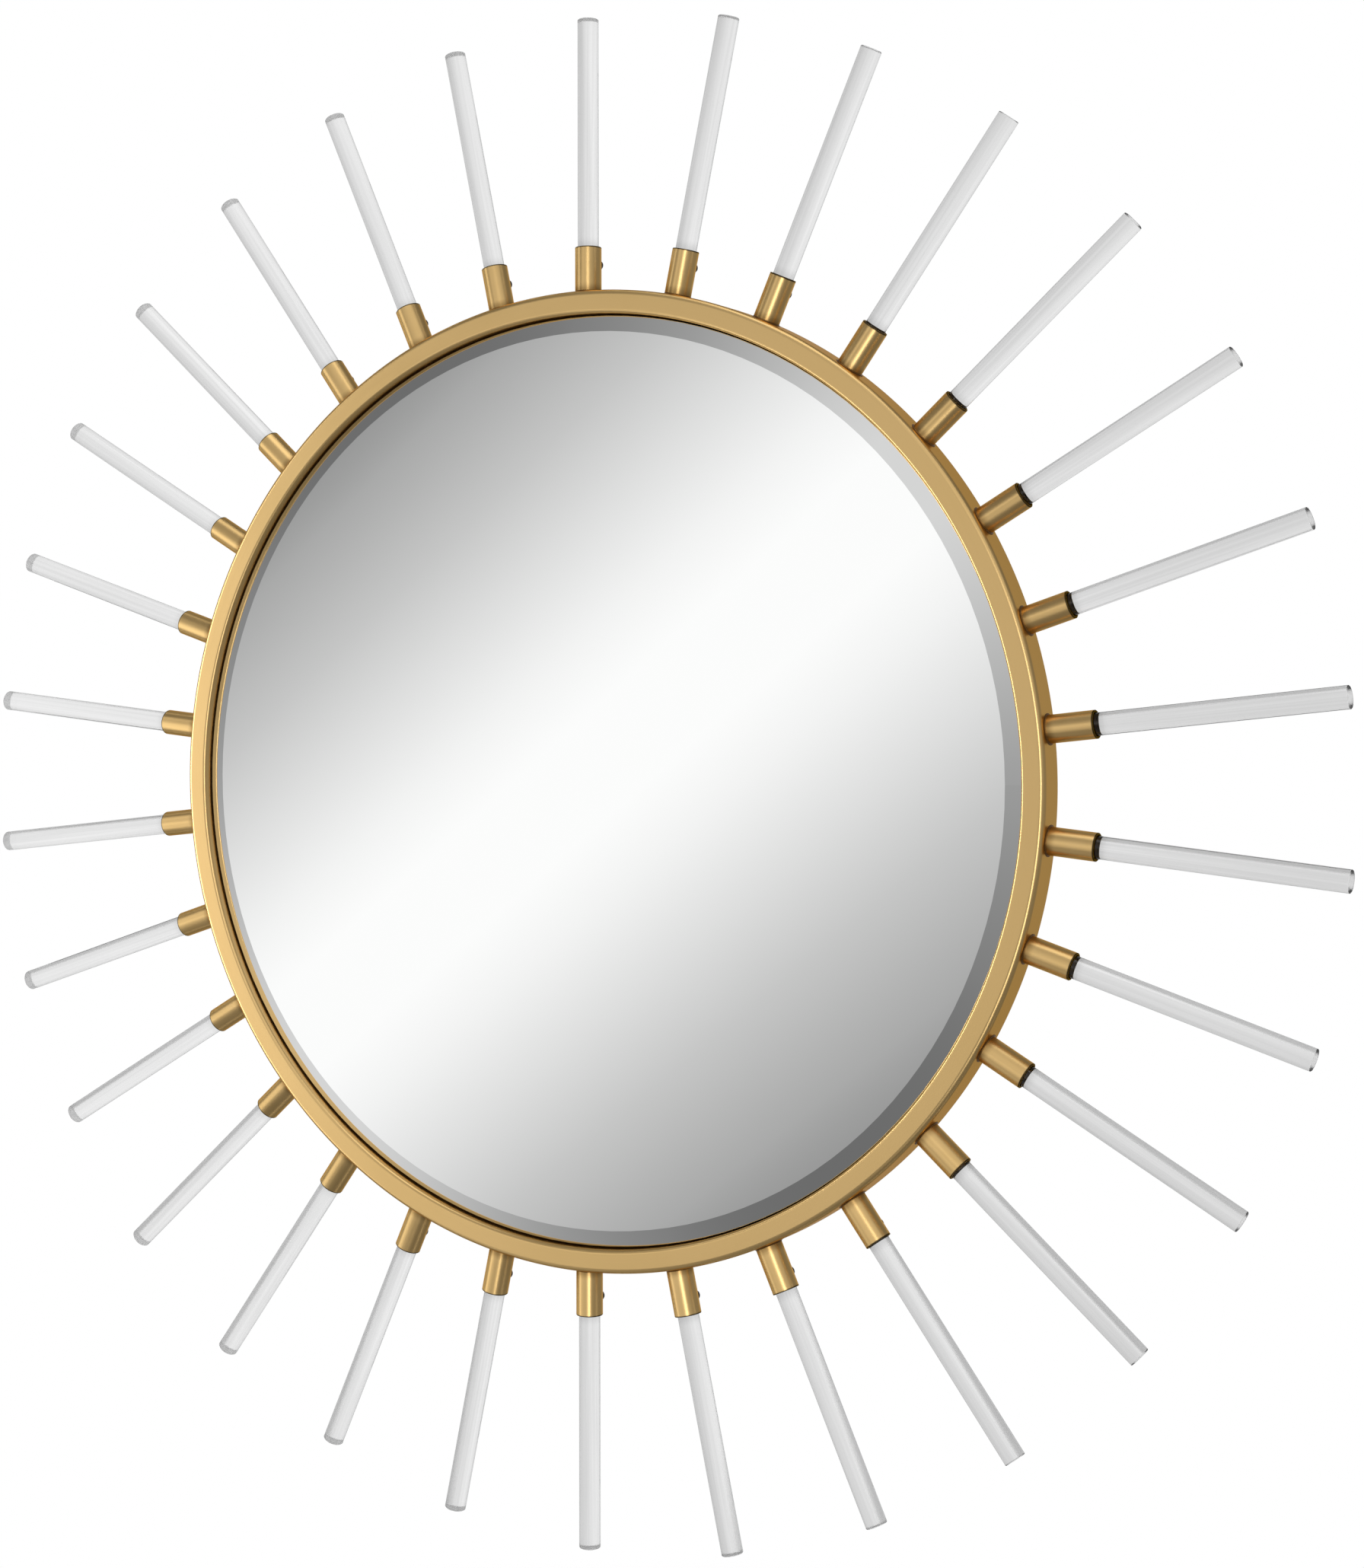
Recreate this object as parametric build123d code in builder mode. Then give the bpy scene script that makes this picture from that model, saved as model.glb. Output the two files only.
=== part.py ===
"""Sunburst wall mirror: a bevelled round glass in a brass ring, with acrylic rods screwed into tube sockets.

Frame: +Z up, the mirror looks towards -Y and the wall lies in the plane y = 0.
The origin is where the ring's axis meets the wall. Millimetres throughout.
"""

import os
from math import asin, cos, degrees, radians, sin

from build123d import *

os.makedirs("parts", exist_ok=True)

# ---- ring, a rolled rectangular tube ----
RING_OUTER_R = 292.0
RING_INNER_R = 278.0
RING_DEPTH = 22.5
RING_WALL = 1.5
RING_OUTER_EDGE_R = 3.2
RING_INNER_EDGE_R = 2.2
RING_REAR_EDGE_R = 1.6

# ---- rods and their sockets ----
ROD_COUNT = 30
ROD_TIP_R = 457.2
ROD_R = 6.35
ROD_END_CHAMFER = 0.4
ROD_AXIS_DEPTH = 12.5
ROD_SEAT_GAP = 1.5
SOCKET_R = 7.94
SOCKET_BORE_R = 6.72
SOCKET_END_R = 319.4
SOCKET_MOUTH_CHAMFER = 0.25
BRAZE_LEG = 1.0

# ---- clamping screw in the wall side of each socket, M3 pan head ----
CLAMP_SCREW_AT_R = 310.5
CLAMP_SHANK_R = 1.47
CLAMP_SHANK_LENGTH = 5.2
CLAMP_HEAD_R = 3.0
CLAMP_HEAD_HEIGHT = 2.4
CLAMP_TIP_GAP = 0.03
CLAMP_HOLE_R = 1.5

# ---- glass ----
GLASS_R = 277.0
GLASS_THICKNESS = 5.0
GLASS_FRONT_DEPTH = 4.5
BEVEL_WIDTH = 9.5
BEVEL_DROP = 1.3
GLASS_ARRIS = 0.3

# ---- mastic dabs, carrier board and rear board ----
MASTIC_THICKNESS = 1.0
MASTIC_R = 32.0
MASTIC_PITCH_R = 175.0
MASTIC_RING_COUNT = 6
CARRIER_R = 276.5
REAR_BOARD_R = 287.0
REAR_BOARD_THICKNESS = 9.0
BOARD_EDGE_CHAMFER = 0.8

# ---- board screws, countersunk ----
FRAME_SCREW_COUNT = 10
FRAME_SCREW_START_ANGLE = 18.0
FRAME_SCREW_PITCH_R = 282.5
FRAME_SCREW_R = 1.45
FRAME_SCREW_LENGTH = 13.0
FRAME_SCREW_HEAD_R = 3.0
CARRIER_SCREW_COUNT = 8
CARRIER_SCREW_START_ANGLE = 22.5
CARRIER_SCREW_PITCH_R = 230.0
CARRIER_SCREW_R = 2.0
CARRIER_SCREW_LENGTH = 18.0
CARRIER_SCREW_HEAD_R = 4.0
SCREW_HOLE_GAP = 0.05
COUNTERSINK_EXTRA_R = 0.4

# ---- hangers: a strap folded round the straight side of a D ring ----
WALL_GAP = 5.5
HANGER_X = 140.0
HANGER_Z = 140.0
STRAP_WIDTH = 13.0
STRAP_LENGTH = 40.0
STRAP_THICKNESS = 0.9
STRAP_LAYER_GAP = 0.12
STRAP_CORNER_R = 4.0
STRAP_HOLE_R = 1.8
WIRE_R = 1.5
WIRE_CLEARANCE = 0.05
D_RING_HALF_WIDTH = 11.5
D_RING_SIDE = 5.0
D_RING_CORNER_R = 2.8
D_RING_STRAP_GAP = 0.35
HANGER_SCREW_DROPS = (22.0, 34.0)
HANGER_SCREW_R = 1.6
HANGER_SCREW_LENGTH = 10.0
HANGER_SCREW_HEAD_R = 3.0
HANGER_SCREW_HEAD_HEIGHT = 1.8

# ---- stick-on wall bumpers ----
BUMPER_R = 9.5
BUMPER_PITCH_R = 250.0
BUMPER_START_ANGLE = 45.0
BUMPER_EDGE_R = 1.5

# ---- what every screw shares, as shares of its head radius, head height or shank radius ----
RECESS_WIDTH = 0.75
RECESS_SPAN_SHARE = 1.1
FLAT_RECESS_DEPTH_SHARE = 0.35
PAN_RECESS_DEPTH_SHARE = 0.55
PAN_EDGE_SHARE = 0.6
HEAD_RIM_HEIGHT = 0.3
POINT_R_SHARE = 0.2
POINT_LENGTH_SHARE = 2.0
SHANK_END_CHAMFER_SHARE = 0.25

# ---- stations along Y, from the wall towards the front ----
REAR_BOARD_BACK_Y = -WALL_GAP
RING_BACK_Y = REAR_BOARD_BACK_Y - REAR_BOARD_THICKNESS
FACE_Y = RING_BACK_Y - RING_DEPTH
ROD_Y = FACE_Y + ROD_AXIS_DEPTH
GLASS_FRONT_Y = FACE_Y + GLASS_FRONT_DEPTH
GLASS_BACK_Y = GLASS_FRONT_Y + GLASS_THICKNESS
CARRIER_FRONT_Y = GLASS_BACK_Y + MASTIC_THICKNESS


def write(builder, name):
    """Labels a finished piece and writes its file."""
    builder.part.label = name
    export_step(builder.part, f"parts/{name}.step")


def wall_plane(y):
    """A plane parallel to the wall at that y: local x is X, local y is Z, and it faces the front."""
    return Plane.XZ.offset(-y)


def rod_place(number):
    """The frame of one rod: local z runs out along the rod, local x points at the wall."""
    angle = radians(90 - number * 360 / ROD_COUNT)
    return Plane((0, ROD_Y, 0), x_dir=(0, 1, 0), z_dir=(cos(angle), 0, sin(angle))).location


def rear_places(pitch_r, count, start_angle, y):
    """Places spaced round the ring's axis, each with local z pointing at the wall."""
    angles = [radians(start_angle + step * 360 / count) for step in range(count)]
    return [rear_place(pitch_r * cos(a), pitch_r * sin(a), y) for a in angles]


def rear_place(x, z, y):
    """A place at (x, y, z) with local z pointing at the wall."""
    return Plane((x, y, z), x_dir=(1, 0, 0), z_dir=(0, 1, 0)).location


ROD_PLACES = [rod_place(number) for number in range(ROD_COUNT)]
FRAME_SCREW_PLACES = rear_places(
    FRAME_SCREW_PITCH_R, FRAME_SCREW_COUNT, FRAME_SCREW_START_ANGLE, REAR_BOARD_BACK_Y
)
CARRIER_SCREW_PLACES = rear_places(
    CARRIER_SCREW_PITCH_R, CARRIER_SCREW_COUNT, CARRIER_SCREW_START_ANGLE, REAR_BOARD_BACK_Y
)
HANGER_SCREW_PLACES = [
    rear_place(side * HANGER_X, HANGER_Z - drop, REAR_BOARD_BACK_Y)
    for side in (-1, 1)
    for drop in HANGER_SCREW_DROPS
]

# ---- ring frame ----
with BuildPart() as ring_frame:
    with BuildSketch() as tube_section:
        with Locations(((RING_INNER_R + RING_OUTER_R) / 2, FACE_Y + RING_DEPTH / 2)):
            Rectangle(RING_OUTER_R - RING_INNER_R, RING_DEPTH)
        front = tube_section.vertices().group_by(Axis.Y)[0].sort_by(Axis.X)
        fillet(front[-1], RING_OUTER_EDGE_R)
        front = tube_section.vertices().group_by(Axis.Y)[0].sort_by(Axis.X)
        fillet(front[0], RING_INNER_EDGE_R)
        fillet(tube_section.vertices().group_by(Axis.Y)[-1], RING_REAR_EDGE_R)
        offset(amount=-RING_WALL, kind=Kind.INTERSECTION, mode=Mode.SUBTRACT)
    revolve(axis=Axis.Y)
    with Locations(*FRAME_SCREW_PLACES):
        Cylinder(
            FRAME_SCREW_R + SCREW_HOLE_GAP,
            REAR_BOARD_THICKNESS + 2 * RING_WALL,
            align=(Align.CENTER, Align.CENTER, Align.MAX),
            mode=Mode.SUBTRACT,
        )
write(ring_frame, "ring_frame")

# ---- sockets: one tube, coped to the ring's outer wall, then repeated round the ring ----
with BuildPart() as socket_pattern:
    with BuildSketch(Plane.XY.offset(RING_OUTER_R - RING_WALL)):
        Circle(SOCKET_R)
        Circle(SOCKET_BORE_R, mode=Mode.SUBTRACT)
    extrude(amount=SOCKET_END_R - RING_OUTER_R + RING_WALL)
    chamfer(socket_pattern.edges().group_by(Axis.Z)[-1], SOCKET_MOUTH_CHAMFER)
    Cylinder(RING_OUTER_R, 4 * SOCKET_R, rotation=(0, 90, 0), mode=Mode.SUBTRACT)
    with BuildSketch(Plane.YZ):
        with Locations((0, CLAMP_SCREW_AT_R)):
            Circle(CLAMP_HOLE_R)
    extrude(amount=SOCKET_R, mode=Mode.SUBTRACT)

with BuildPart() as rod_sockets:
    with Locations(*ROD_PLACES):
        add(socket_pattern.part)
write(rod_sockets, "rod_sockets")

# ---- brazed fillet round the foot of each socket ----
with BuildPart() as braze_pattern:
    with BuildSketch(Plane.XZ):
        with BuildLine():
            foot = RING_OUTER_R - BRAZE_LEG
            top = RING_OUTER_R + BRAZE_LEG
            Line((SOCKET_R, top), (SOCKET_R, foot))
            Line((SOCKET_R, foot), (SOCKET_R + BRAZE_LEG, foot))
            Line((SOCKET_R + BRAZE_LEG, foot), (SOCKET_R + BRAZE_LEG, RING_OUTER_R))
            RadiusArc((SOCKET_R + BRAZE_LEG, RING_OUTER_R), (SOCKET_R, top), BRAZE_LEG)
        make_face()
    revolve(axis=Axis.Z)
    Cylinder(RING_OUTER_R, 4 * SOCKET_R, rotation=(0, 90, 0), mode=Mode.SUBTRACT)

with BuildPart() as braze_fillets:
    with Locations(*ROD_PLACES):
        add(braze_pattern.part)
write(braze_fillets, "braze_fillets")


def cross_recess(length, depth):
    """Cuts a cross recess into the face at the local origin, going down local z."""
    for size in ((length, RECESS_WIDTH), (RECESS_WIDTH, length)):
        Box(*size, 2 * depth, mode=Mode.SUBTRACT)


def countersunk_screw(shank_r, length, head_r):
    """A countersunk screw with its head flush at the origin and its point down local z."""
    with BuildPart() as screw:
        with BuildSketch(Plane.XZ):
            Polygon(
                (0, 0),
                (head_r, 0),
                (head_r, -HEAD_RIM_HEIGHT),
                (shank_r, -HEAD_RIM_HEIGHT - (head_r - shank_r)),
                (shank_r, POINT_LENGTH_SHARE * shank_r - length),
                (POINT_R_SHARE * shank_r, -length),
                (0, -length),
                align=None,
            )
        revolve(axis=Axis.Z)
        cross_recess(RECESS_SPAN_SHARE * head_r, FLAT_RECESS_DEPTH_SHARE * head_r)
    return screw.part


def pan_screw(shank_r, length, head_r, head_height):
    """A pan head screw with the underside of its head at the origin and its shank down local z."""
    with BuildPart() as screw:
        Cylinder(head_r, head_height, align=(Align.CENTER, Align.CENTER, Align.MIN))
        fillet(screw.edges().group_by(Axis.Z)[-1], PAN_EDGE_SHARE * head_height)
        with Locations((0, 0, head_height)):
            cross_recess(RECESS_SPAN_SHARE * head_r, PAN_RECESS_DEPTH_SHARE * head_height)
        Cylinder(shank_r, length, align=(Align.CENTER, Align.CENTER, Align.MAX))
        chamfer(screw.edges().group_by(Axis.Z)[0], SHANK_END_CHAMFER_SHARE * shank_r)
    return screw.part


# ---- clamping screws ----
clamp_screw = pan_screw(CLAMP_SHANK_R, CLAMP_SHANK_LENGTH, CLAMP_HEAD_R, CLAMP_HEAD_HEIGHT)
clamp_head_x = ROD_R + CLAMP_TIP_GAP + CLAMP_SHANK_LENGTH
clamp_seat = Plane((clamp_head_x, 0, CLAMP_SCREW_AT_R), x_dir=(0, 1, 0), z_dir=(1, 0, 0)).location

with BuildPart() as clamp_screws:
    with Locations(*[place * clamp_seat for place in ROD_PLACES]):
        add(clamp_screw)
write(clamp_screws, "clamp_screws")

# ---- acrylic rods, one node each, numbered clockwise from the top as seen from the front ----
for number, place in enumerate(ROD_PLACES, start=1):
    with BuildPart() as acrylic_rod:
        with BuildSketch(Plane(place).offset(RING_OUTER_R + ROD_SEAT_GAP)):
            Circle(ROD_R)
        extrude(amount=ROD_TIP_R - RING_OUTER_R - ROD_SEAT_GAP)
        chamfer(acrylic_rod.edges().filter_by(GeomType.CIRCLE), ROD_END_CHAMFER)
    write(acrylic_rod, f"acrylic_rod_{number:02d}")

# ---- bevelled glass ----
with BuildPart() as mirror_glass:
    with BuildSketch():
        rim_front_y = GLASS_FRONT_Y + BEVEL_DROP
        Polygon(
            (0, GLASS_FRONT_Y),
            (GLASS_R - BEVEL_WIDTH, GLASS_FRONT_Y),
            (GLASS_R - GLASS_ARRIS, rim_front_y),
            (GLASS_R, rim_front_y + GLASS_ARRIS),
            (GLASS_R, GLASS_BACK_Y - GLASS_ARRIS),
            (GLASS_R - GLASS_ARRIS, GLASS_BACK_Y),
            (0, GLASS_BACK_Y),
            align=None,
        )
    revolve(axis=Axis.Y)
write(mirror_glass, "mirror_glass")

# ---- mastic dabs between the glass and its carrier ----
with BuildPart() as mastic_dabs:
    with BuildSketch(wall_plane(CARRIER_FRONT_Y)):
        Circle(MASTIC_R)
        with PolarLocations(MASTIC_PITCH_R, MASTIC_RING_COUNT):
            Circle(MASTIC_R)
    extrude(amount=MASTIC_THICKNESS)
write(mastic_dabs, "mastic_dabs")

# ---- carrier board inside the ring ----
with BuildPart() as carrier_board:
    with BuildSketch(wall_plane(RING_BACK_Y)):
        Circle(CARRIER_R)
    extrude(amount=RING_BACK_Y - CARRIER_FRONT_Y)
    chamfer(carrier_board.edges().filter_by(GeomType.CIRCLE), BOARD_EDGE_CHAMFER)
    with Locations(*CARRIER_SCREW_PLACES):
        Cylinder(
            CARRIER_SCREW_R + SCREW_HOLE_GAP,
            CARRIER_SCREW_LENGTH + SCREW_HOLE_GAP,
            align=(Align.CENTER, Align.CENTER, Align.MAX),
            mode=Mode.SUBTRACT,
        )
write(carrier_board, "carrier_board")

# ---- rear board, lapping over the back of the ring ----
with BuildPart() as rear_board:
    with BuildSketch(wall_plane(REAR_BOARD_BACK_Y)):
        Circle(REAR_BOARD_R)
    extrude(amount=REAR_BOARD_THICKNESS)
    chamfer(rear_board.edges().filter_by(GeomType.CIRCLE).group_by(Axis.Y)[-1], BOARD_EDGE_CHAMFER)
    for places, shank_r, head_r in (
        (FRAME_SCREW_PLACES, FRAME_SCREW_R, FRAME_SCREW_HEAD_R),
        (CARRIER_SCREW_PLACES, CARRIER_SCREW_R, CARRIER_SCREW_HEAD_R),
    ):
        with Locations(*places):
            CounterSinkHole(
                shank_r + SCREW_HOLE_GAP, head_r + COUNTERSINK_EXTRA_R, depth=REAR_BOARD_THICKNESS
            )
    with Locations(*HANGER_SCREW_PLACES):
        Hole(HANGER_SCREW_R + SCREW_HOLE_GAP, depth=HANGER_SCREW_LENGTH)
write(rear_board, "rear_board")

# ---- board screws ----
frame_screw = countersunk_screw(FRAME_SCREW_R, FRAME_SCREW_LENGTH, FRAME_SCREW_HEAD_R)
with BuildPart() as frame_screws:
    with Locations(*FRAME_SCREW_PLACES):
        add(frame_screw)
write(frame_screws, "frame_screws")

carrier_screw = countersunk_screw(CARRIER_SCREW_R, CARRIER_SCREW_LENGTH, CARRIER_SCREW_HEAD_R)
with BuildPart() as carrier_screws:
    with Locations(*CARRIER_SCREW_PLACES):
        add(carrier_screw)
write(carrier_screws, "carrier_screws")

# ---- hanger straps and D rings, left and right as seen from behind ----
BARREL_BORE_R = WIRE_R + WIRE_CLEARANCE
BARREL_R = BARREL_BORE_R + STRAP_THICKNESS
PIVOT_Y = REAR_BOARD_BACK_Y + BARREL_R
STRAP_BACK_Y = REAR_BOARD_BACK_Y + 2 * STRAP_THICKNESS + STRAP_LAYER_GAP
D_RING_REACH = D_RING_SIDE + D_RING_HALF_WIDTH
BOW_Y = STRAP_BACK_Y + WIRE_R + D_RING_STRAP_GAP
D_RING_LEAN = degrees(asin((BOW_Y - PIVOT_Y) / D_RING_REACH))

for side, hand in ((1, "left"), (-1, "right")):
    pivot = Location((side * HANGER_X, PIVOT_Y, HANGER_Z))

    with BuildPart() as strap:
        with BuildSketch(Plane.YZ.offset(side * HANGER_X - STRAP_WIDTH / 2)):
            with Locations((PIVOT_Y, HANGER_Z)):
                Circle(BARREL_R)
            tail_centre = (REAR_BOARD_BACK_Y + STRAP_BACK_Y) / 2, HANGER_Z - STRAP_LENGTH / 2
            with Locations(tail_centre):
                Rectangle(STRAP_BACK_Y - REAR_BOARD_BACK_Y, STRAP_LENGTH)
                Rectangle(STRAP_LAYER_GAP, STRAP_LENGTH, mode=Mode.SUBTRACT)
            with Locations((PIVOT_Y, HANGER_Z)):
                Circle(BARREL_BORE_R, mode=Mode.SUBTRACT)
        extrude(amount=STRAP_WIDTH)
        fillet(strap.edges().filter_by(Axis.Y).group_by(Axis.Z)[0], STRAP_CORNER_R)
        for drop in HANGER_SCREW_DROPS:
            with Locations(rear_place(side * HANGER_X, HANGER_Z - drop, STRAP_BACK_Y)):
                Hole(STRAP_HOLE_R, depth=STRAP_LENGTH)
    write(strap, f"hanger_strap_{hand}")

    with BuildPart() as d_ring:
        with BuildLine() as bow:
            half, side_z = D_RING_HALF_WIDTH, -D_RING_SIDE
            FilletPolyline((0, 0, 0), (half, 0, 0), (half, 0, side_z), radius=D_RING_CORNER_R)
            ThreePointArc((half, 0, side_z), (0, 0, side_z - half), (-half, 0, side_z))
            FilletPolyline((-half, 0, side_z), (-half, 0, 0), (0, 0, 0), radius=D_RING_CORNER_R)
        with BuildSketch(Plane.YZ):
            Circle(WIRE_R)
        sweep()
    d_ring.part = d_ring.part.rotate(Axis.X, D_RING_LEAN).moved(pivot)
    write(d_ring, f"hanger_ring_{hand}")

# ---- hanger screws ----
hanger_screw = pan_screw(HANGER_SCREW_R, HANGER_SCREW_LENGTH, HANGER_SCREW_HEAD_R, HANGER_SCREW_HEAD_HEIGHT)
strap_lift = Location((0, 0, STRAP_BACK_Y - REAR_BOARD_BACK_Y))
with BuildPart() as hanger_screws:
    with Locations(*[place * strap_lift for place in HANGER_SCREW_PLACES]):
        add(hanger_screw)
write(hanger_screws, "hanger_screws")

# ---- wall bumpers, named as seen from behind ----
bumper_names = ("upper_left", "upper_right", "lower_right", "lower_left")
bumper_places = rear_places(BUMPER_PITCH_R, len(bumper_names), BUMPER_START_ANGLE, REAR_BOARD_BACK_Y)
for place, corner in zip(bumper_places, bumper_names):
    with BuildPart() as bumper:
        with Locations(place):
            Cylinder(BUMPER_R, WALL_GAP, align=(Align.CENTER, Align.CENTER, Align.MIN))
        fillet(bumper.edges().group_by(Axis.Y)[-1], BUMPER_EDGE_R)
    write(bumper, f"wall_bumper_{corner}")
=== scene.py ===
"""Looks of the sunburst wall mirror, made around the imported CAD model.

Metres, +Z up, the mirror looks towards -Y and the wall would be the plane y = 0.
"""

from math import cos, pi, radians, sin

import bmesh
import bpy
from mathutils import Matrix, Vector


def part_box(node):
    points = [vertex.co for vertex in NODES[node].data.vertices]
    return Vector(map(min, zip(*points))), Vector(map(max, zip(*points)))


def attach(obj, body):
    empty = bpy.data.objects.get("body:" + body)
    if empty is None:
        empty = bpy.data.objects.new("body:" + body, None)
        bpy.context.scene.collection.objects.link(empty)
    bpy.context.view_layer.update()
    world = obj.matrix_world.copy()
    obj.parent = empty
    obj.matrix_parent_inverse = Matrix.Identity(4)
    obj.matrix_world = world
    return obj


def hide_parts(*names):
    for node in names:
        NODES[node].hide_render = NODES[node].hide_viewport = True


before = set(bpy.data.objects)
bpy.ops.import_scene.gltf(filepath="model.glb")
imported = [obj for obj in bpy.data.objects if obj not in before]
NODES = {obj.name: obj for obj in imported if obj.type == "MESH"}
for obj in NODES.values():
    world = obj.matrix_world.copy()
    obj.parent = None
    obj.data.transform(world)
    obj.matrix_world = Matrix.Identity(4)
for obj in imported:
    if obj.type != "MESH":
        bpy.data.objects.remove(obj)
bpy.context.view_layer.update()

# ---- sizes that the CAD model gives ----
RING_LOW, RING_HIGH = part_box("ring_frame")
GLASS_LOW, GLASS_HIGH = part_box("mirror_glass")
RING_OUTER_R = RING_HIGH.x
GLASS_R = GLASS_HIGH.x
SOCKET_END_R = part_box("rod_sockets")[1].z
ROD_TIP_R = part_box("acrylic_rod_01")[1].z

# ---- camera: slightly above the mirror's middle, 30 degrees round to its right ----
CAMERA_PLACE = Vector((0.7766, -1.3791, 0.0462))
CAMERA_FORWARD = Vector((-0.46614, 0.88445, 0.02141))
CAMERA_UP = Vector((0.01176, -0.01800, 0.99977))
SENSOR = 36.0
LENS = 59.72
SHIFT_X = 0.0005
SHIFT_Y = -0.0882

camera_data = bpy.data.cameras.new("camera")
camera_data.sensor_width = SENSOR
camera_data.lens = LENS
camera_data.shift_x = SHIFT_X
camera_data.shift_y = SHIFT_Y
camera = bpy.data.objects.new("camera", camera_data)
bpy.context.scene.collection.objects.link(camera)
right = CAMERA_FORWARD.cross(CAMERA_UP).normalized()
up = right.cross(CAMERA_FORWARD).normalized()
camera.matrix_world = (
    Matrix.Translation(CAMERA_PLACE)
    @ Matrix((right, up, -CAMERA_FORWARD.normalized())).transposed().to_4x4()
)
bpy.context.scene.camera = camera
bpy.context.scene.view_settings.view_transform = "Standard"


class Graph:
    """Makes shader nodes in a tree with short calls.

    A number, a colour or another node's output can feed any input.
    """

    def __init__(self, tree):
        self.tree = tree

    def feed(self, socket, value):
        if isinstance(value, bpy.types.NodeSocket):
            self.tree.links.new(value, socket)
        elif value is not None:
            socket.default_value = value

    def node(self, kind, inputs=None, **settings):
        made = self.tree.nodes.new(kind)
        for key, value in settings.items():
            setattr(made, key, value)
        for key, value in (inputs or {}).items():
            self.feed(made.inputs[key], value)
        return made

    def place(self):
        return self.node("ShaderNodeTexCoord").outputs["Object"]

    def math(self, operation, *values):
        return self.node("ShaderNodeMath", dict(enumerate(values)), operation=operation).outputs[0]

    def vector(self, operation, inputs, output="Vector"):
        return self.node("ShaderNodeVectorMath", inputs, operation=operation).outputs[output]

    def smooth(self, value, low, high, out_low=0.0, out_high=1.0):
        """A smooth step from out_low at low to out_high at high."""
        return self.node(
            "ShaderNodeMapRange",
            {"Value": value, "From Min": low, "From Max": high, "To Min": out_low, "To Max": out_high},
            interpolation_type="SMOOTHSTEP",
        ).outputs["Result"]

    def ramp(self, value, stops, interpolation):
        """A colour ramp through (position, colour) stops."""
        made = self.node("ShaderNodeValToRGB", {"Fac": value})
        made.color_ramp.interpolation = interpolation
        elements = made.color_ramp.elements
        while len(elements) < len(stops):
            elements.new(1.0)
        for element, (position, colour) in zip(elements, stops):
            element.position = position
            element.color = colour
        return made.outputs["Color"]

    def noise(self, vector, scale, detail, roughness, w=None, distortion=0.0):
        """A noise in 3D, or in 4D where w is given."""
        made = self.node(
            "ShaderNodeTexNoise",
            {"Vector": vector, "Scale": scale, "Detail": detail, "Roughness": roughness},
            noise_dimensions="3D" if w is None else "4D",
        )
        self.feed(made.inputs["Distortion"], distortion)
        if w is not None:
            self.feed(made.inputs["W"], w)
        return made.outputs["Fac"]

    def mix(self, factor, a, b):
        """A mix of two colours: a Mix node takes them at sockets 6 and 7 and gives one at output 2."""
        return self.node("ShaderNodeMix", {0: factor, 6: a, 7: b}, data_type="RGBA").outputs[2]

    def bump(self, height, distance, strength):
        return self.node(
            "ShaderNodeBump", {"Height": height, "Distance": distance, "Strength": strength}
        ).outputs["Normal"]


def grey(level):
    return (level, level, level, 1.0)


# ---- brass ring: the CAD tube's outside, evenly turned so that its rounded edges shine evenly ----
RING_INNER_R = 0.278
OUTER_EDGE_R = 0.0032
INNER_EDGE_R = 0.0022
REAR_EDGE_R = 0.0016
RING_SEGMENTS = 400
EDGE_STEPS = 10


def rounded_outline(corners):
    """Points and outward normals along a right-angled outline of (point, edge radius) corners."""
    outline = []
    for index, (corner, radius) in enumerate(corners):
        back = (corners[index - 1][0] - corner).normalized()
        onward = (corners[(index + 1) % len(corners)][0] - corner).normalized()
        centre = corner + radius * (back + onward)
        for step in range(EDGE_STEPS + 1):
            turn = pi / 2 * step / EDGE_STEPS
            normal = -(cos(turn) * onward + sin(turn) * back)
            outline.append((centre + radius * normal, normal))
    return outline


def turned(name, outline, segments):
    """A smooth mesh of the outline, in (distance from the axis, y), turned round the Y axis."""
    places, normals, faces = [], [], []
    for segment in range(segments):
        turn = 2 * pi * segment / segments
        for point, normal in outline:
            places.append((point.x * cos(turn), point.y, point.x * sin(turn)))
            normals.append((normal.x * cos(turn), normal.y, normal.x * sin(turn)))
    row = len(outline)
    for segment in range(segments):
        here, there = segment * row, (segment + 1) % segments * row
        for index in range(row):
            following = (index + 1) % row
            faces.append((here + index, here + following, there + following, there + index))
    mesh = bpy.data.meshes.new(name)
    mesh.from_pydata(places, [], faces)
    mesh.validate()
    mesh.polygons.foreach_set("use_smooth", [True] * len(mesh.polygons))
    mesh.normals_split_custom_set_from_vertices(normals)
    piece = bpy.data.objects.new(name, mesh)
    bpy.context.scene.collection.objects.link(piece)
    return piece


brass_ring = turned(
    "brass_ring",
    rounded_outline(
        [
            (Vector((RING_OUTER_R, RING_LOW.y)), OUTER_EDGE_R),
            (Vector((RING_OUTER_R, RING_HIGH.y)), REAR_EDGE_R),
            (Vector((RING_INNER_R, RING_HIGH.y)), REAR_EDGE_R),
            (Vector((RING_INNER_R, RING_LOW.y)), INNER_EDGE_R),
        ]
    ),
    RING_SEGMENTS,
)
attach(brass_ring, "mirror")
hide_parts("ring_frame")


# ---- studio: what the mirror, the brass and the rods see ----
GLASS_TO_CAMERA = GLASS_LOW.y - CAMERA_PLACE.y
SIDEWAYS_LIMIT = -0.02

# the slanting band of light in front, from its middle to its far side, and dimmer past the glass
BAND_ANGLE = radians(38)
BAND_STOPS = [
    (0.0, grey(1.06)),
    (0.24, grey(0.93)),
    (0.44, grey(0.737)),
    (0.62, grey(0.584)),
    (0.86, grey(0.395)),
    (1.0, grey(0.296)),
]
BEYOND_FROM = 1.1
BEYOND_TO = 2.0
BEYOND_CONTRAST = 0.28
BEYOND_DIMMING = 0.32

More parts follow.
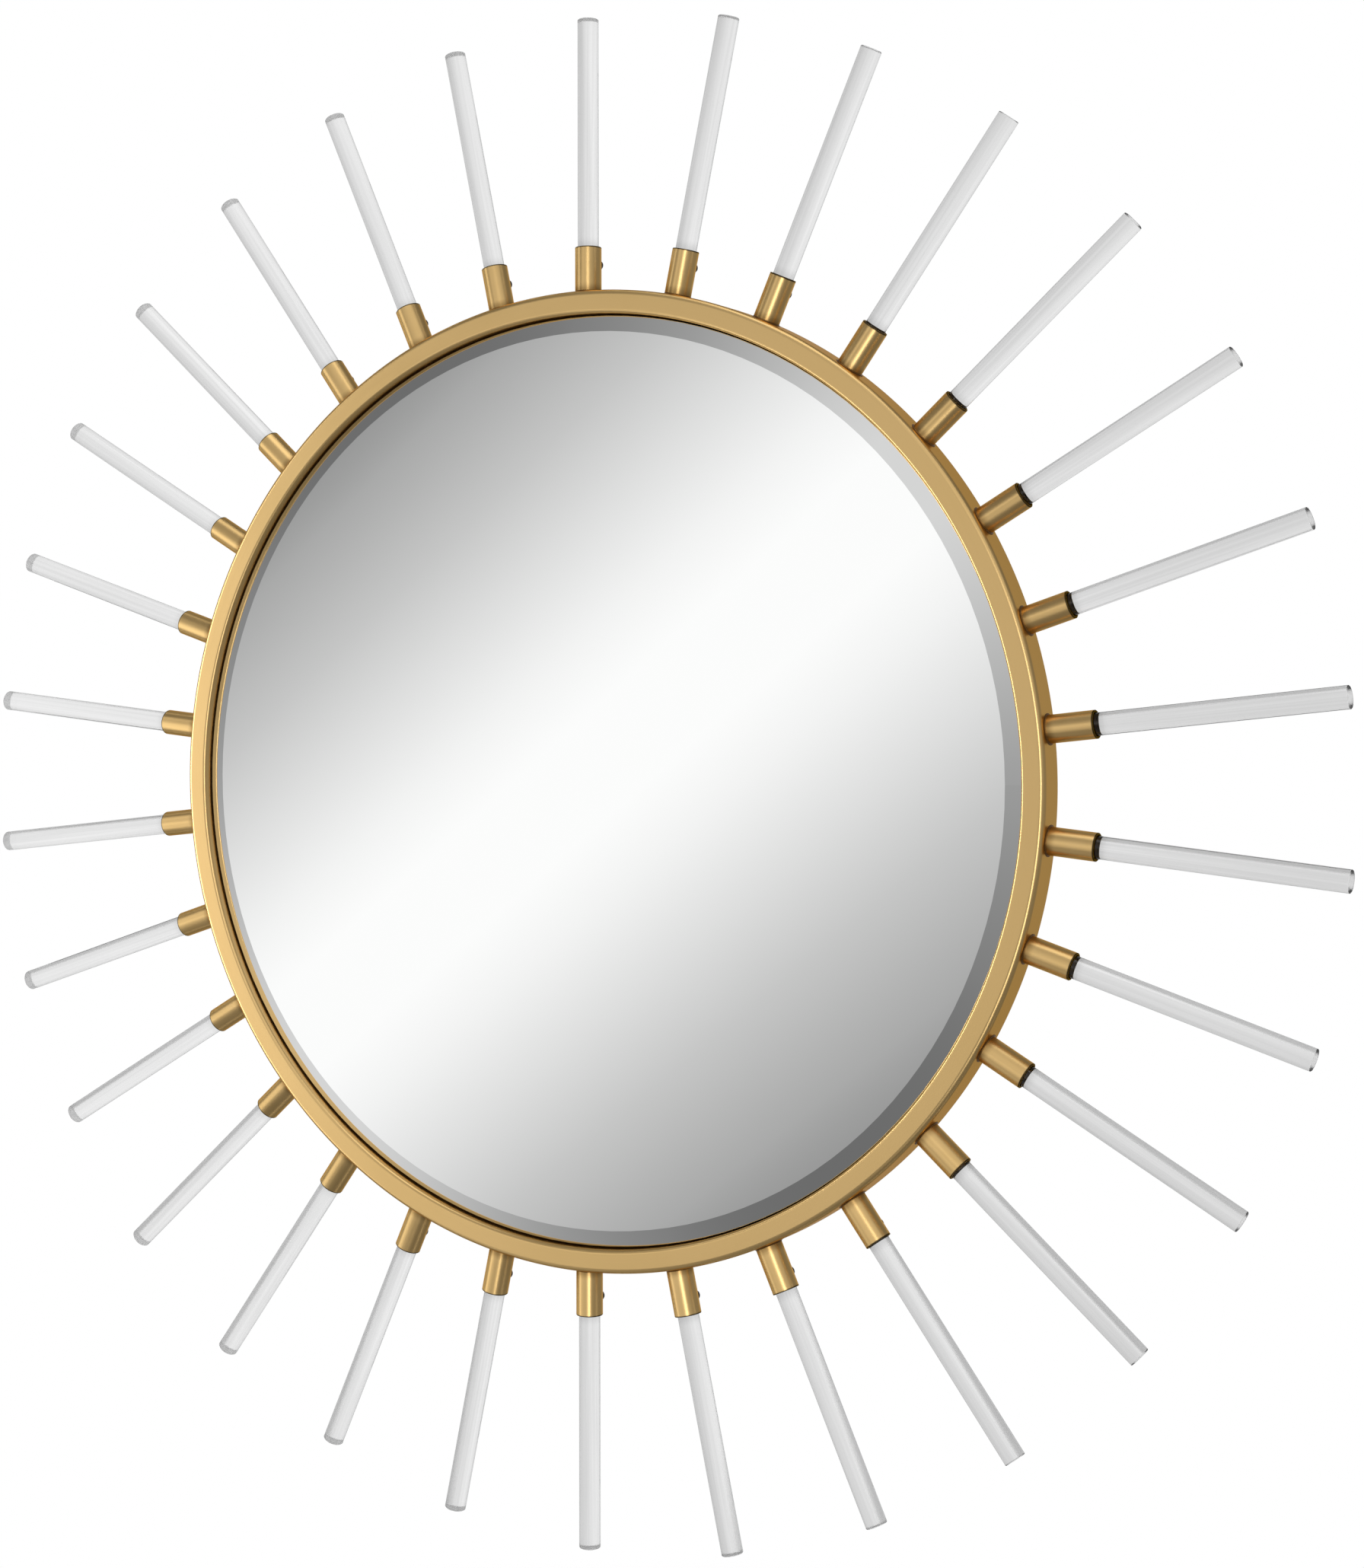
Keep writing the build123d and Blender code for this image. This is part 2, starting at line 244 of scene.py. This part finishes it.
# a fade is (from, to, level at from, level at to)
BACKDROP_DIRECTION = (-0.466, 0.884, 0.0)
BACKDROP_FADE = (0.45, 0.98, 0.26, 0.6)
BACKDROP_HEIGHT_FADE = (0.1, 0.55, 1.0, 0.72)
FRONT_TO_BACK_FADE = (-0.45, -0.05, 0.0, 1.0)
THROUGH_RODS_SIDE_FADE = (-0.85, 0.15, 1.08, 0.80)
THROUGH_RODS_DEPTH_FADE = (-0.6, 0.4, 0.82, 1.0)
SEEN_BY_CAMERA = grey(1.0)

world = bpy.data.worlds.new("studio")
bpy.context.scene.world = world
world.use_nodes = True
world.node_tree.nodes.clear()
g = Graph(world.node_tree)
direction = g.node("ShaderNodeTexCoord").outputs["Generated"]
x, y, z = g.node("ShaderNodeSeparateXYZ", {0: direction}).outputs

# u and w are the place on the glass, in glass radii, where this direction shows
front_y = g.math("MINIMUM", y, SIDEWAYS_LIMIT)
across = g.math("DIVIDE", x, front_y)
rise = g.math("DIVIDE", z, g.math("MULTIPLY", front_y, -1.0))
u = g.math("MULTIPLY_ADD", across, -GLASS_TO_CAMERA / GLASS_R, CAMERA_PLACE.x / GLASS_R)
w = g.math("MULTIPLY_ADD", rise, GLASS_TO_CAMERA / GLASS_R, CAMERA_PLACE.z / GLASS_R)
reach = g.math("SQRT", g.math("MULTIPLY_ADD", u, u, g.math("MULTIPLY", w, w)))
side = g.math("MULTIPLY_ADD", u, -sin(BAND_ANGLE), g.math("MULTIPLY", w, cos(BAND_ANGLE)))
side = g.math("ABSOLUTE", g.math("DIVIDE", side, g.math("MAXIMUM", reach, 1.0)))
band = g.ramp(side, BAND_STOPS, "B_SPLINE")
beyond = g.smooth(reach, BEYOND_FROM, BEYOND_TO)
front = g.math("POWER", band, g.math("MULTIPLY_ADD", beyond, BEYOND_CONTRAST, 1.0))
front = g.math("MULTIPLY", front, g.math("MULTIPLY_ADD", beyond, -BEYOND_DIMMING, 1.0))

backdrop_share = g.vector("DOT_PRODUCT", {0: direction, 1: BACKDROP_DIRECTION}, "Value")
back = g.smooth(backdrop_share, *BACKDROP_FADE)
back = g.math("MULTIPLY", back, g.smooth(g.math("ABSOLUTE", z), *BACKDROP_HEIGHT_FADE))
studio = g.mix(g.smooth(y, *FRONT_TO_BACK_FADE), front, back)
through_rods = g.math(
    "MULTIPLY", g.smooth(x, *THROUGH_RODS_SIDE_FADE), g.smooth(y, *THROUGH_RODS_DEPTH_FADE)
)
path = g.node("ShaderNodeLightPath")
shown = g.mix(path.outputs["Is Transmission Ray"], studio, through_rods)
shown = g.mix(path.outputs["Is Camera Ray"], shown, SEEN_BY_CAMERA)
background = g.node("ShaderNodeBackground", {"Color": shown}).outputs[0]
g.node("ShaderNodeOutputWorld", {"Surface": background})

# ---- floor: pale, fading to clear at its rim, and left out of reflections ----
FLOOR_Z = -1.25
FLOOR_R = 2.4
FLOOR_PALE_R = 1.3
FLOOR_SEGMENTS = 96
FLOOR_COLOUR = grey(0.82)

floor_mesh = bpy.data.meshes.new("floor")
bm = bmesh.new()
bmesh.ops.create_circle(bm, cap_ends=True, segments=FLOOR_SEGMENTS, radius=FLOOR_R)
bm.to_mesh(floor_mesh)
bm.free()
floor = bpy.data.objects.new("floor", floor_mesh)
floor.location.z = FLOOR_Z
bpy.context.scene.collection.objects.link(floor)
floor_material = bpy.data.materials.new("pale_floor")
floor_material.use_nodes = True
floor_material.node_tree.nodes.clear()
g = Graph(floor_material.node_tree)
away = g.vector("LENGTH", {0: g.place()}, "Value")
fade = g.smooth(away, FLOOR_PALE_R, FLOOR_R)
pale = g.node("ShaderNodeBsdfDiffuse", {"Color": FLOOR_COLOUR}).outputs[0]
clear = g.node("ShaderNodeBsdfTransparent").outputs[0]
floor_surface = g.node("ShaderNodeMixShader", {0: fade, 1: pale, 2: clear}).outputs[0]
g.node("ShaderNodeOutputMaterial", {"Surface": floor_surface})
floor_mesh.materials.append(floor_material)
floor.visible_glossy = False


# ---- lamps ----
def soft_light(name, place, target, size, power):
    """A large soft area light of a (width, height) size, that the camera doesn't see."""
    data = bpy.data.lights.new(name, "AREA")
    data.shape = "RECTANGLE"
    data.size, data.size_y = size
    data.energy = power
    lamp = bpy.data.objects.new(name, data)
    lamp.location = place
    lamp.rotation_mode = "QUATERNION"
    lamp.rotation_quaternion = (Vector(place) - Vector(target)).to_track_quat("Z", "Y")
    lamp.visible_camera = False
    bpy.context.scene.collection.objects.link(lamp)
    return lamp


def light_only(name, lamps, pieces):
    """Keeps lamps to some pieces, so that they don't glare in the mirror or sparkle in the rods."""
    lit = bpy.data.collections.new(name)
    for piece in pieces:
        lit.objects.link(piece)
    for lamp in lamps:
        lamp.light_linking.receiver_collection = lit


METALWORK = ("rod_sockets", "braze_fillets", "clamp_screws")
BACK_PIECES = ("rear_board", "frame_screws", "carrier_screws")
BACK_FAMILIES = ("hanger", "wall_bumper")
MIDDLE = (0.0, 0.0, 0.0)

soft_light("top_soft", (0.2, -0.6, 2.6), MIDDLE, size=(1.6, 1.6), power=8)
strip_right = soft_light("strip_right", (1.35, -2.9, -0.4), MIDDLE, size=(0.8, 2.4), power=18)
rim_left = soft_light("rim_left", (-0.95, -0.55, 0.0), (-0.29, -0.04, 0.0), size=(0.35, 1.5), power=1.3)
edge_left = soft_light("edge_left", (-2.4, -1.15, -0.1), (0.1, 0.0, 0.0), size=(0.5, 1.4), power=13)
socket_fill = soft_light("socket_fill", (-0.15, -1.9, -0.6), MIDDLE, size=(1.6, 1.0), power=1.6)
face_fill = soft_light("face_fill", (-0.62, -1.9, -0.52), (0.19, 0.0, -0.21), size=(0.5, 0.5), power=0.25)
back_soft = soft_light("back_soft", (-1.3, 1.7, 1.5), MIDDLE, size=(0.9, 0.9), power=40)
floor_wash = soft_light("floor_wash", (0.0, 0.0, 2.5), (0.0, 0.0, FLOOR_Z), size=(3.0, 3.0), power=90)

metalwork = [brass_ring] + [NODES[name] for name in METALWORK]
back_pieces = [
    node for name, node in NODES.items() if name in BACK_PIECES or name.startswith(BACK_FAMILIES)
]
light_only("lit_metalwork", [strip_right, rim_left], metalwork)
light_only("lit_ring", [edge_left, face_fill], [brass_ring])
light_only("lit_sockets", [socket_fill], [NODES["rod_sockets"]])
light_only("lit_back", [back_soft], back_pieces)
light_only("lit_floor", [floor_wash], [floor])


# ---- materials ----
def principled(name, graph_maker, **uniform):
    """A Principled material.

    Uniform values go straight to the shader's sockets; graph_maker returns the linked ones.
    """
    material = bpy.data.materials.new(name)
    material.use_nodes = True
    material.node_tree.nodes.clear()
    g = Graph(material.node_tree)
    values = {key.replace("_", " "): value for key, value in uniform.items()}
    shader = g.node("ShaderNodeBsdfPrincipled", values)
    for key, value in graph_maker(g).items():
        g.feed(shader.inputs[key], value)
    g.node("ShaderNodeOutputMaterial", {"Surface": shader.outputs[0]})
    return material


def polar(g):
    """Places round the mirror's axis: the outward unit vector, the distance from the axis, and y."""
    x, y, z = g.node("ShaderNodeSeparateXYZ", {0: g.place()}).outputs
    flat = g.node("ShaderNodeCombineXYZ", {0: x, 2: z}).outputs[0]
    return g.vector("NORMALIZE", {0: flat}), g.vector("LENGTH", {0: flat}, "Value"), y


def lines(g, at, around_scale, y_scale, distance_scale, detail, roughness):
    """Noise at a polar place, drawn out into lines along the direction with the lowest scale.

    The scales are for one radian round the axis, one metre of y and one metre from the axis.
    """
    outward, distance, y = at
    around = g.vector("SCALE", {0: outward, "Scale": around_scale})
    lift = g.node("ShaderNodeCombineXYZ", {1: g.math("MULTIPLY", y, y_scale)}).outputs[0]
    spread = g.vector("ADD", {0: around, 1: lift})
    return g.noise(spread, 1.0, detail, roughness, w=g.math("MULTIPLY", distance, distance_scale))


BRASS_LIGHT = (0.97, 0.668, 0.295, 1.0)
BRASS_DEEP = (0.87, 0.582, 0.23, 1.0)
BRASS_GLANCING = (0.95, 0.68, 0.36, 1.0)
# painted shade colours: brown at each socket's foot next to the ring, near black at its mouth
FOOT_SHADE_BROWN = (0.40, 0.23, 0.075, 1.0)
MOUTH_SHADE = (0.03, 0.024, 0.015, 1.0)
FOOT_SHADE_FROM_R = RING_OUTER_R + 0.0020
FOOT_SHADE_TO_R = RING_OUTER_R + 0.0075
MOUTH_FROM_R = SOCKET_END_R - 0.0010
MOUTH_TO_R = SOCKET_END_R - 0.0003


def brass_colour(g, clouds, line, line_share):
    shade = g.math("MULTIPLY_ADD", clouds, 0.8, g.math("MULTIPLY", line, line_share))
    return g.mix(shade, BRASS_DEEP, BRASS_LIGHT)


def ring_brass(g):
    """Satin lines that run round the ring."""
    line = lines(
        g, polar(g), around_scale=5.0, y_scale=2600.0, distance_scale=2600.0, detail=4.0, roughness=0.6
    )
    clouds = g.noise(g.place(), 9.0, 3.0, 0.55)
    return {
        "Base Color": brass_colour(g, clouds, line, 0.3),
        "Roughness": g.math("MULTIPLY_ADD", line, 0.10, g.math("MULTIPLY_ADD", clouds, 0.06, 0.24)),
        "Normal": g.bump(line, 0.00001, 0.6),
    }


def socket_brass(g):
    """Fine lines along each tube, a painted shade at its brazed foot and a painted shade at its mouth."""
    at = polar(g)
    distance = at[1]
    line = lines(
        g, at, around_scale=900.0, y_scale=3000.0, distance_scale=70.0, detail=3.0, roughness=0.6
    )
    clouds = g.noise(g.place(), 60.0, 3.0, 0.55)
    ragged = g.math("MULTIPLY_ADD", clouds, 0.003, distance)
    # painted shade: the brass turns dark brown towards the foot where the socket meets the ring, with a
    # ragged edge
    painted_foot_shade = g.smooth(ragged, FOOT_SHADE_FROM_R, FOOT_SHADE_TO_R, 0.8, 0.0)
    # painted shade: the socket's mouth goes almost black over its last millimetre
    painted_mouth_shade = g.smooth(distance, MOUTH_FROM_R, MOUTH_TO_R, 0.0, 0.95)
    foot_shaded = g.mix(painted_foot_shade, brass_colour(g, clouds, line, 0.2), FOOT_SHADE_BROWN)
    return {
        "Base Color": g.mix(painted_mouth_shade, foot_shaded, MOUTH_SHADE),
        "Roughness": g.math("MULTIPLY_ADD", line, 0.06, g.math("MULTIPLY_ADD", clouds, 0.06, 0.25)),
        "Normal": g.bump(line, 0.00001, 0.25),
    }


ROD_SHADE_TO_R = SOCKET_END_R + 0.0066
SAWN_FROM_R = ROD_TIP_R - 0.0004
SAWN_TO_R = ROD_TIP_R - 0.0002


def acrylic(g):
    """Polished bar with faint draw lines along it, a painted shade next to the socket and a sawn, matt end.
    """
    at = polar(g)
    distance = at[1]
    line = lines(
        g, at, around_scale=260.0, y_scale=700.0, distance_scale=5.0, detail=2.0, roughness=0.5
    )
    streaks = g.smooth(line, 0.3, 0.7, 0.72, 0.84)
    # painted shade: the bar's colour is darker over the first 6.6 mm out of the socket
    painted_rod_shade = g.smooth(distance, SOCKET_END_R, ROD_SHADE_TO_R, 0.80, 1.0)
    sawn_end = g.smooth(distance, SAWN_FROM_R, SAWN_TO_R)
    return {
        "Base Color": g.math("MULTIPLY", streaks, painted_rod_shade),
        "Roughness": g.math("MULTIPLY_ADD", sawn_end, 0.9, g.smooth(line, 0.45, 0.85, 0.0, 0.04)),
        "Normal": g.bump(line, 0.00002, 0.12),
    }


def silvered(g):
    """Silvered glass: nearly perfect, with a little dust."""
    dust = g.noise(g.place(), 420.0, 4.0, 0.6)
    return {"Roughness": g.smooth(dust, 0.55, 0.8, 0.0, 0.03)}


def fibreboard(low, high):
    """Fibres, broad mottling and a few rubbed streaks."""

    def graph(g):
        place = g.place()
        cloud = g.noise(place, 14.0, 4.0, 0.6)
        mottle = g.noise(place, 110.0, 4.0, 0.7, distortion=0.8)
        fibre = g.noise(place, 900.0, 5.0, 0.7, distortion=1.5)
        stretch = {"Vector": place, "Rotation": (0.0, 0.6, 0.0), "Scale": (60.0, 1.0, 5.0)}
        stretched = g.node("ShaderNodeMapping", stretch).outputs[0]
        rub = g.smooth(g.noise(stretched, 1.0, 3.0, 0.6), 0.60, 0.78, 0.0, 0.6)
        coarse = g.math("MULTIPLY_ADD", mottle, 0.4, g.math("MULTIPLY", cloud, 0.2))
        grain = g.math("MULTIPLY_ADD", fibre, 0.4, coarse)
        shade = g.math("MAXIMUM", g.smooth(grain, 0.32, 0.68), rub)
        return {
            "Base Color": g.mix(shade, low, high),
            "Roughness": g.math("MULTIPLY_ADD", grain, 0.4, 0.35),
            "Normal": g.bump(grain, 0.0004, 0.5),
        }

    return graph


def grainy(scale, low, high, depth, strength, detail=3.0, roughness=0.6, gloss=None):
    """One noise for the colour and the bump, and for the shader's roughness if gloss is (spread, least)."""

    def graph(g):
        grain = g.noise(g.place(), scale, detail, roughness)
        linked = {"Base Color": g.mix(grain, low, high), "Normal": g.bump(grain, depth, strength)}
        if gloss:
            linked["Roughness"] = g.math("MULTIPLY_ADD", grain, *gloss)
        return linked

    return graph


braze = grainy(900.0, (0.16, 0.075, 0.02, 1.0), (0.36, 0.19, 0.06, 1.0), depth=0.00008, strength=0.8)
blackened = grainy(
    1500.0,
    (0.05, 0.042, 0.034, 1.0),
    (0.13, 0.11, 0.085, 1.0),
    depth=0.00003,
    strength=0.6,
    gloss=(0.2, 0.28),
)
zinc = grainy(
    260.0,
    (0.55, 0.55, 0.54, 1.0),
    (0.80, 0.80, 0.81, 1.0),
    depth=0.00004,
    strength=0.5,
    detail=4.0,
    roughness=0.65,
    gloss=(0.25, 0.2),
)
mastic_paste = grainy(
    120.0, (0.55, 0.53, 0.48, 1.0), (0.7, 0.68, 0.62, 1.0), depth=0.0006, strength=0.6, detail=4.0
)
rubber = grainy(
    1400.0, (0.018, 0.018, 0.019, 1.0), (0.045, 0.045, 0.047, 1.0), depth=0.00005, strength=0.5
)
brown_board = fibreboard((0.16, 0.10, 0.055, 1.0), (0.32, 0.22, 0.13, 1.0))
black_board = fibreboard((0.010, 0.010, 0.011, 1.0), (0.060, 0.058, 0.055, 1.0))

MATERIALS = {
    "brass_frame": principled(
        "brass_frame", ring_brass, Metallic=1.0, Anisotropic=0.3, Specular_Tint=BRASS_GLANCING
    ),
    "brass_sockets": principled("brass_sockets", socket_brass, Metallic=1.0, Specular_Tint=BRASS_GLANCING),
    "braze_metal": principled("braze_metal", braze, Metallic=1.0, Roughness=0.45),
    "black_steel": principled("black_steel", blackened, Metallic=0.6),
    "clear_acrylic": principled("clear_acrylic", acrylic, Transmission_Weight=1.0, IOR=1.49),
    "mirror_glass": principled("mirror_glass", silvered, Metallic=1.0, Base_Color=(0.97, 0.975, 0.97, 1.0)),
    "mastic": principled("mastic", mastic_paste, Roughness=0.6),
    "raw_fibreboard": principled("raw_fibreboard", brown_board),
    "black_fibreboard": principled("black_fibreboard", black_board),
    "zinc_screws": principled("zinc_screws", zinc, Metallic=1.0),
    "zinc_hangers": principled("zinc_hangers", zinc, Metallic=1.0),
    "bumper_rubber": principled("bumper_rubber", rubber, Roughness=0.65),
}

# the ring's satin highlight spreads across its circular lines
tree = MATERIALS["brass_frame"].node_tree
tangent = tree.nodes.new("ShaderNodeTangent")
tangent.direction_type = "RADIAL"
tangent.axis = "Y"
shader = next(n for n in tree.nodes if n.type == "BSDF_PRINCIPLED")
tree.links.new(tangent.outputs[0], shader.inputs["Tangent"])

for node in NODES.values():
    for slot in node.material_slots:
        slot.material = MATERIALS[slot.material.name.split(".")[0]]

brass_ring.data.materials.append(MATERIALS["brass_frame"])
